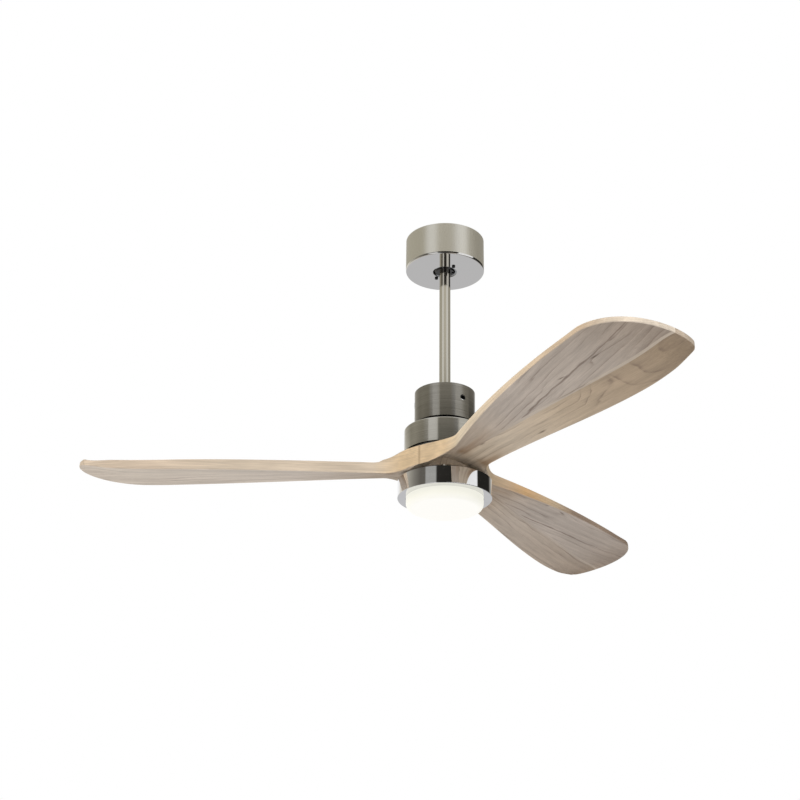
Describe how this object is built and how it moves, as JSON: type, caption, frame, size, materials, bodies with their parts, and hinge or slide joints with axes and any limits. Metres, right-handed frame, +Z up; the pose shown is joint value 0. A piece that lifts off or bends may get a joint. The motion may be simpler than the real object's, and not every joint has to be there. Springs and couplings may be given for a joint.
{
  "type": "ceiling fan with light",
  "caption": "Ceiling fan on a downrod: carved wooden propeller blades under a drum-shaped brushed nickel motor, with a round opal light in a polished housing below.",
  "frame": {"origin": "centre of the ceiling face, midway between the two ceiling screws", "axes": "+Z up along the downrod, +Y along the line of the two ceiling screws, and the pictured side faces -Y"},
  "size_m": [1.0475, 1.1786, 0.549],
  "materials": {
    "satin_nickel": "satin nickel plating on spun steel",
    "polished_nickel": "polished nickel plating",
    "brushed_nickel": "dark brushed nickel plating on spun steel",
    "mirror_chrome": "mirror-polished chrome plating",
    "ash_wood": "pale carved wood, matt lacquer",
    "opal": "opal acrylic, lit from inside",
    "black_nylon": "black moulded nylon",
    "white_plastic": "white moulded plastic",
    "natural_plastic": "natural nylon",
    "black_rubber": "black rubber",
    "zinc_steel": "zinc-plated pressed steel",
    "black_screw": "black oxide steel screw",
    "steel_screw": "zinc-plated steel screw",
    "turned_steel": "turned steel",
    "bearing_steel": "ground bearing steel",
    "cage_brass": "pressed brass",
    "core_steel": "stack of silicon steel sheets",
    "copper_wire": "enamelled copper wire",
    "cast_aluminium": "die-cast aluminium",
    "magnet": "ferrite magnet",
    "wire_red": "PVC-insulated wire",
    "board_white": "white solder mask on an aluminium board",
    "led_phosphor": "phosphor of an LED chip",
    "brass_turned": "turned brass"
  },
  "bodies": {
    "mount": {"hanger_bracket": "zinc_steel", "canopy": "satin_nickel", "canopy_screws": "black_screw", "terminal_block": "natural_plastic", "receiver": "white_plastic", "module_screws": "steel_screw"},
    "hanger": {"hanger_ball": "black_nylon", "ball_pin": "turned_steel", "downrod": "polished_nickel", "rod_grommet": "black_rubber", "power_leads": "wire_red", "coupling_yoke": "zinc_steel", "yoke_pin": "turned_steel", "yoke_clip": "steel_screw", "yoke_set_screws": "black_screw", "coupling_cover": "brushed_nickel", "cover_screws": "black_screw", "motor_shaft": "turned_steel", "motor_housing": "brushed_nickel", "housing_screws": "steel_screw", "stator_core": "core_steel", "stator_windings": "copper_wire", "bearing_inner_rings": "bearing_steel", "shaft_nuts": "steel_screw", "light_plate": "zinc_steel", "light_housing": "mirror_chrome", "light_screws": "steel_screw", "led_driver": "white_plastic", "light_connector": "natural_plastic", "board_standoffs": "brass_turned", "board_screws": "steel_screw", "led_board": "board_white", "led_chips": "led_phosphor", "lens_ring": "white_plastic", "lens_ring_screws": "steel_screw"},
    "rotor": {"bearing_outer_rings": "bearing_steel", "rotor_bell": "cast_aluminium", "rotor_magnets": "magnet", "rotor_flange": "cast_aluminium", "bell_screws": "steel_screw", "blade_1": "ash_wood", "blade_2": "ash_wood", "blade_3": "ash_wood", "hub_plate": "zinc_steel", "blade_bolts": "steel_screw"},
    "ball_train": {"bearing_balls": "bearing_steel", "bearing_cages": "cage_brass"},
    "lens": {"diffuser": "opal"}
  },
  "joints": [
    {"name": "hanger_swing", "type": "hinge", "parent": "mount", "child": "hanger", "pos_m": [0, 0, -0.045], "axis": [0, 1, 0], "range_deg": [-18, 18]},
    {"name": "rotor_spin", "type": "hinge", "parent": "hanger", "child": "rotor", "pos_m": [0, 0, -0.4303], "axis": [0, 0, 1], "continuous": true},
    {"name": "bearing_roll", "type": "hinge", "parent": "hanger", "child": "ball_train", "pos_m": [0, 0, -0.4303], "axis": [0, 0, 1], "continuous": true},
    {"name": "diffuser_twist", "type": "hinge", "parent": "hanger", "child": "lens", "pos_m": [0, 0, -0.529], "axis": [0, 0, 1], "range_deg": [0, 20]}
  ],
  "couplings": [
    {"joint": "bearing_roll", "follows": "rotor_spin", "ratio": 0.5615}
  ]
}
